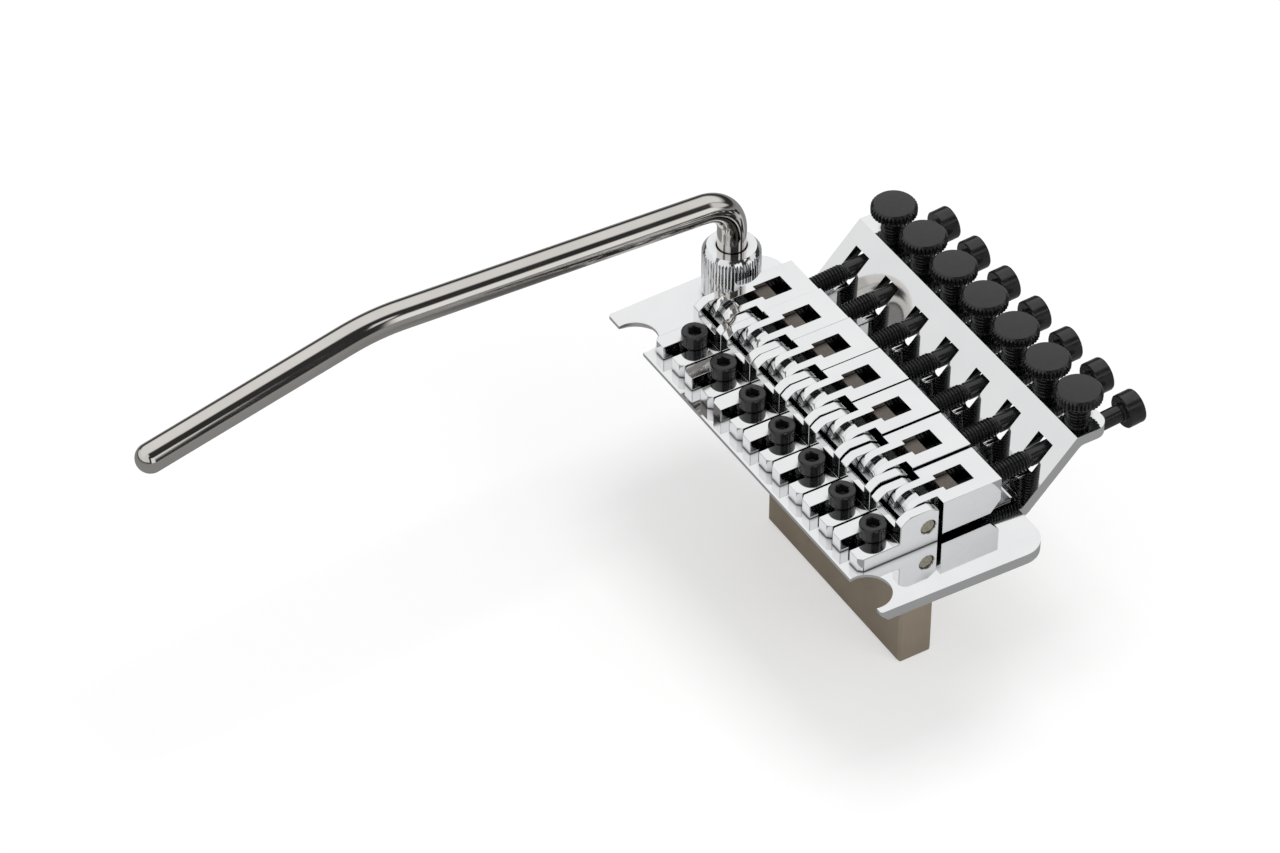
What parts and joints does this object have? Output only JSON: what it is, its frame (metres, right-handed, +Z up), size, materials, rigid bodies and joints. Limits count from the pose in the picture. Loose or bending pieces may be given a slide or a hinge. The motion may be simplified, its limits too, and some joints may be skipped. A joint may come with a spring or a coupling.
{
  "type": "guitar tremolo bridge",
  "caption": "Floating locking tremolo bridge for an electric guitar: knife-edge plate, hinged string saddles, rear fine tuners, sustain block and swivelling arm.",
  "frame": {"origin": "midpoint of the two pivot stud centres, at the top face of the base plate", "axes": "+X towards the bass side, +Y towards the fine tuners, +Z up out of the plate"},
  "size_m": [0.1015, 0.1802, 0.0791],
  "materials": {
    "chrome_plate": "polished",
    "polished_steel": "polished",
    "black_steel": "satin",
    "nickel_steel": "satin",
    "spring_steel": "satin",
    "insert_steel": "satin",
    "pin_brass": "satin",
    "washer_plastic": "matte"
  },
  "bodies": {
    "root": {"base_plate": "chrome_plate", "sustain_block": "nickel_steel", "block_screws": "black_steel", "leaf_springs": "spring_steel", "leaf_screws": "black_steel", "arm_socket": "chrome_plate", "socket_nut": "chrome_plate", "friction_washers": "washer_plastic"},
    "arm": {"tremolo_arm": "polished_steel"},
    "collar": {"arm_collar": "chrome_plate"},
    "saddle_1": {"saddle_foot_1": "chrome_plate", "saddle_pin_1": "pin_brass"},
    "block_1": {"string_block_1": "chrome_plate"},
    "insert_1": {"string_insert_1": "insert_steel"},
    "lock_1": {"lock_screw_1": "black_steel"},
    "intonation_1": {"intonation_screw_1": "black_steel"},
    "tuner_1": {"fine_tuner_1": "black_steel"},
    "saddle_2": {"saddle_foot_2": "chrome_plate", "saddle_pin_2": "pin_brass"},
    "block_2": {"string_block_2": "chrome_plate"},
    "insert_2": {"string_insert_2": "insert_steel"},
    "lock_2": {"lock_screw_2": "black_steel"},
    "intonation_2": {"intonation_screw_2": "black_steel"},
    "tuner_2": {"fine_tuner_2": "black_steel"},
    "saddle_3": {"saddle_foot_3": "chrome_plate", "saddle_pin_3": "pin_brass"},
    "block_3": {"string_block_3": "chrome_plate"},
    "insert_3": {"string_insert_3": "insert_steel"},
    "lock_3": {"lock_screw_3": "black_steel"},
    "intonation_3": {"intonation_screw_3": "black_steel"},
    "tuner_3": {"fine_tuner_3": "black_steel"},
    "saddle_4": {"saddle_foot_4": "chrome_plate", "saddle_pin_4": "pin_brass"},
    "block_4": {"string_block_4": "chrome_plate"},
    "insert_4": {"string_insert_4": "insert_steel"},
    "lock_4": {"lock_screw_4": "black_steel"},
    "intonation_4": {"intonation_screw_4": "black_steel"},
    "tuner_4": {"fine_tuner_4": "black_steel"},
    "saddle_5": {"saddle_foot_5": "chrome_plate", "saddle_pin_5": "pin_brass"},
    "block_5": {"string_block_5": "chrome_plate"},
    "insert_5": {"string_insert_5": "insert_steel"},
    "lock_5": {"lock_screw_5": "black_steel"},
    "intonation_5": {"intonation_screw_5": "black_steel"},
    "tuner_5": {"fine_tuner_5": "black_steel"},
    "saddle_6": {"saddle_foot_6": "chrome_plate", "saddle_pin_6": "pin_brass"},
    "block_6": {"string_block_6": "chrome_plate"},
    "insert_6": {"string_insert_6": "insert_steel"},
    "lock_6": {"lock_screw_6": "black_steel"},
    "intonation_6": {"intonation_screw_6": "black_steel"},
    "tuner_6": {"fine_tuner_6": "black_steel"},
    "saddle_7": {"saddle_foot_7": "chrome_plate", "saddle_pin_7": "pin_brass"},
    "block_7": {"string_block_7": "chrome_plate"},
    "insert_7": {"string_insert_7": "insert_steel"},
    "lock_7": {"lock_screw_7": "black_steel"},
    "intonation_7": {"intonation_screw_7": "black_steel"},
    "tuner_7": {"fine_tuner_7": "black_steel"}
  },
  "joints": [
    {"name": "arm_swivel", "type": "hinge", "parent": "root", "child": "arm", "pos_m": [-0.0442, 0.0234, 0.01], "axis": [0, 0, 1], "continuous": true},
    {"name": "collar_turn", "type": "hinge", "parent": "root", "child": "collar", "pos_m": [-0.0442, 0.0234, 0.007], "axis": [0, 0, 1], "continuous": true},
    {"name": "saddle_1_intonation", "type": "slide", "parent": "root", "child": "saddle_1", "axis": [0, 1, 0], "range_m": [0, 0.005]},
    {"name": "intonation_screw_1_travel", "type": "slide", "parent": "root", "child": "intonation_1", "axis": [0, 0, 1], "range_m": [0, 0.0005]},
    {"name": "fine_tuner_1_travel", "type": "slide", "parent": "root", "child": "tuner_1", "axis": [0, 0, -1], "range_m": [0, 0.0015]},
    {"name": "block_1_tilt", "type": "hinge", "parent": "saddle_1", "child": "block_1", "pos_m": [-0.03225, 0.0167, 0.0046], "axis": [1, 0, 0], "range_deg": [-2.35, 0], "deforming": ["leaf_springs"]},
    {"name": "lock_screw_1_travel", "type": "slide", "parent": "block_1", "child": "lock_1", "axis": [0, 0.9963, 0.0858], "range_m": [0, 0.002]},
    {"name": "insert_1_travel", "type": "slide", "parent": "block_1", "child": "insert_1", "axis": [0, 1, 0], "range_m": [0, 0.0021]},
    {"name": "saddle_2_intonation", "type": "slide", "parent": "root", "child": "saddle_2", "axis": [0, 1, 0], "range_m": [0, 0.005]},
    {"name": "intonation_screw_2_travel", "type": "slide", "parent": "root", "child": "intonation_2", "axis": [0, 0, 1], "range_m": [0, 0.0005]},
    {"name": "fine_tuner_2_travel", "type": "slide", "parent": "root", "child": "tuner_2", "axis": [0, 0, -1], "range_m": [0, 0.0015]},
    {"name": "block_2_tilt", "type": "hinge", "parent": "saddle_2", "child": "block_2", "pos_m": [-0.0215, 0.0167, 0.00517], "axis": [1, 0, 0], "range_deg": [-2.35, 0], "deforming": ["leaf_springs"]},
    {"name": "lock_screw_2_travel", "type": "slide", "parent": "block_2", "child": "lock_2", "axis": [0, 0.9976, 0.0687], "range_m": [0, 0.002]},
    {"name": "insert_2_travel", "type": "slide", "parent": "block_2", "child": "insert_2", "axis": [0, 1, 0], "range_m": [0, 0.0021]},
    {"name": "saddle_3_intonation", "type": "slide", "parent": "root", "child": "saddle_3", "axis": [0, 1, 0], "range_m": [0, 0.005]},
    {"name": "intonation_screw_3_travel", "type": "slide", "parent": "root", "child": "intonation_3", "axis": [0, 0, 1], "range_m": [0, 0.0005]},
    {"name": "fine_tuner_3_travel", "type": "slide", "parent": "root", "child": "tuner_3", "axis": [0, 0, -1], "range_m": [0, 0.0015]},
    {"name": "block_3_tilt", "type": "hinge", "parent": "saddle_3", "child": "block_3", "pos_m": [-0.01075, 0.0167, 0.00551], "axis": [1, 0, 0], "range_deg": [-2.35, 0], "deforming": ["leaf_springs"]},
    {"name": "lock_screw_3_travel", "type": "slide", "parent": "block_3", "child": "lock_3", "axis": [0, 0.9983, 0.0585], "range_m": [0, 0.002]},
    {"name": "insert_3_travel", "type": "slide", "parent": "block_3", "child": "insert_3", "axis": [0, 1, 0], "range_m": [0, 0.0021]},
    {"name": "saddle_4_intonation", "type": "slide", "parent": "root", "child": "saddle_4", "axis": [0, 1, 0], "range_m": [0, 0.005]},
    {"name": "intonation_screw_4_travel", "type": "slide", "parent": "root", "child": "intonation_4", "axis": [0, 0, 1], "range_m": [0, 0.0005]},
    {"name": "fine_tuner_4_travel", "type": "slide", "parent": "root", "child": "tuner_4", "axis": [0, 0, -1], "range_m": [0, 0.0015]},
    {"name": "block_4_tilt", "type": "hinge", "parent": "saddle_4", "child": "block_4", "pos_m": [0, 0.0167, 0.00562], "axis": [1, 0, 0], "range_deg": [-2.35, 0], "deforming": ["leaf_springs"]},
    {"name": "lock_screw_4_travel", "type": "slide", "parent": "block_4", "child": "lock_4", "axis": [0, 0.9985, 0.0551], "range_m": [0, 0.002]},
    {"name": "insert_4_travel", "type": "slide", "parent": "block_4", "child": "insert_4", "axis": [0, 1, 0], "range_m": [0, 0.0021]},
    {"name": "saddle_5_intonation", "type": "slide", "parent": "root", "child": "saddle_5", "axis": [0, 1, 0], "range_m": [0, 0.005]},
    {"name": "intonation_screw_5_travel", "type": "slide", "parent": "root", "child": "intonation_5", "axis": [0, 0, 1], "range_m": [0, 0.0005]},
    {"name": "fine_tuner_5_travel", "type": "slide", "parent": "root", "child": "tuner_5", "axis": [0, 0, -1], "range_m": [0, 0.0015]},
    {"name": "block_5_tilt", "type": "hinge", "parent": "saddle_5", "child": "block_5", "pos_m": [0.01075, 0.0167, 0.00551], "axis": [1, 0, 0], "range_deg": [-2.35, 0], "deforming": ["leaf_springs"]},
    {"name": "lock_screw_5_travel", "type": "slide", "parent": "block_5", "child": "lock_5", "axis": [0, 0.9983, 0.0585], "range_m": [0, 0.002]},
    {"name": "insert_5_travel", "type": "slide", "parent": "block_5", "child": "insert_5", "axis": [0, 1, 0], "range_m": [0, 0.0021]},
    {"name": "saddle_6_intonation", "type": "slide", "parent": "root", "child": "saddle_6", "axis": [0, 1, 0], "range_m": [0, 0.005]},
    {"name": "intonation_screw_6_travel", "type": "slide", "parent": "root", "child": "intonation_6", "axis": [0, 0, 1], "range_m": [0, 0.0005]},
    {"name": "fine_tuner_6_travel", "type": "slide", "parent": "root", "child": "tuner_6", "axis": [0, 0, -1], "range_m": [0, 0.0015]},
    {"name": "block_6_tilt", "type": "hinge", "parent": "saddle_6", "child": "block_6", "pos_m": [0.0215, 0.0167, 0.00517], "axis": [1, 0, 0], "range_deg": [-2.35, 0], "deforming": ["leaf_springs"]},
    {"name": "lock_screw_6_travel", "type": "slide", "parent": "block_6", "child": "lock_6", "axis": [0, 0.9976, 0.0687], "range_m": [0, 0.002]},
    {"name": "insert_6_travel", "type": "slide", "parent": "block_6", "child": "insert_6", "axis": [0, 1, 0], "range_m": [0, 0.0021]},
    {"name": "saddle_7_intonation", "type": "slide", "parent": "root", "child": "saddle_7", "axis": [0, 1, 0], "range_m": [0, 0.005]},
    {"name": "intonation_screw_7_travel", "type": "slide", "parent": "root", "child": "intonation_7", "axis": [0, 0, 1], "range_m": [0, 0.0005]},
    {"name": "fine_tuner_7_travel", "type": "slide", "parent": "root", "child": "tuner_7", "axis": [0, 0, -1], "range_m": [0, 0.0015]},
    {"name": "block_7_tilt", "type": "hinge", "parent": "saddle_7", "child": "block_7", "pos_m": [0.03225, 0.0167, 0.0046], "axis": [1, 0, 0], "range_deg": [-2.35, 0], "deforming": ["leaf_springs"]},
    {"name": "lock_screw_7_travel", "type": "slide", "parent": "block_7", "child": "lock_7", "axis": [0, 0.9963, 0.0858], "range_m": [0, 0.002]},
    {"name": "insert_7_travel", "type": "slide", "parent": "block_7", "child": "insert_7", "axis": [0, 1, 0], "range_m": [0, 0.0021]}
  ],
  "couplings": [
    {"joint": "block_1_tilt", "follows": "fine_tuner_1_travel", "rad_per_m": -26.88},
    {"joint": "insert_1_travel", "follows": "lock_screw_1_travel", "ratio": 1},
    {"joint": "block_2_tilt", "follows": "fine_tuner_2_travel", "rad_per_m": -26.88},
    {"joint": "insert_2_travel", "follows": "lock_screw_2_travel", "ratio": 1},
    {"joint": "block_3_tilt", "follows": "fine_tuner_3_travel", "rad_per_m": -26.88},
    {"joint": "insert_3_travel", "follows": "lock_screw_3_travel", "ratio": 1},
    {"joint": "block_4_tilt", "follows": "fine_tuner_4_travel", "rad_per_m": -26.88},
    {"joint": "insert_4_travel", "follows": "lock_screw_4_travel", "ratio": 1},
    {"joint": "block_5_tilt", "follows": "fine_tuner_5_travel", "rad_per_m": -26.88},
    {"joint": "insert_5_travel", "follows": "lock_screw_5_travel", "ratio": 1},
    {"joint": "block_6_tilt", "follows": "fine_tuner_6_travel", "rad_per_m": -26.88},
    {"joint": "insert_6_travel", "follows": "lock_screw_6_travel", "ratio": 1},
    {"joint": "block_7_tilt", "follows": "fine_tuner_7_travel", "rad_per_m": -26.88},
    {"joint": "insert_7_travel", "follows": "lock_screw_7_travel", "ratio": 1}
  ]
}
